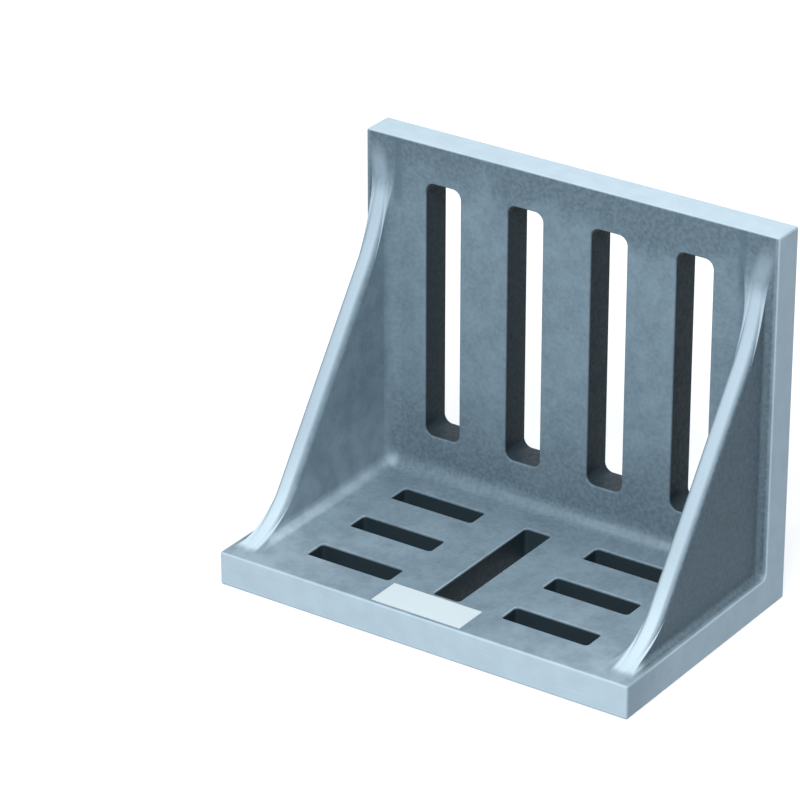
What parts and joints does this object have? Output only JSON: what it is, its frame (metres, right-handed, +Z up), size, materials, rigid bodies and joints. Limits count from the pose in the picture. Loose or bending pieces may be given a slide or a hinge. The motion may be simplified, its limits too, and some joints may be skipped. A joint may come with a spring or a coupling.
{
  "type": "angle plate",
  "caption": "Slotted cast-iron angle plate: a base and an upright at right angles, tied by triangular end webs, with bolt slots through both plates.",
  "frame": {"origin": "on the standing face, under the middle of the plate's length and depth", "axes": "+X along the length, +Y towards the upright's outer working face, +Z up"},
  "size_m": [0.24, 0.148, 0.203],
  "materials": {
    "cast_iron": "grey-blue cast skin inside, ground faces outside",
    "label_face": "plain pale paper label, no print"
  },
  "bodies": {
    "root": {"angle_plate_casting": "cast_iron", "blank_label": "label_face"}
  },
  "joints": []
}
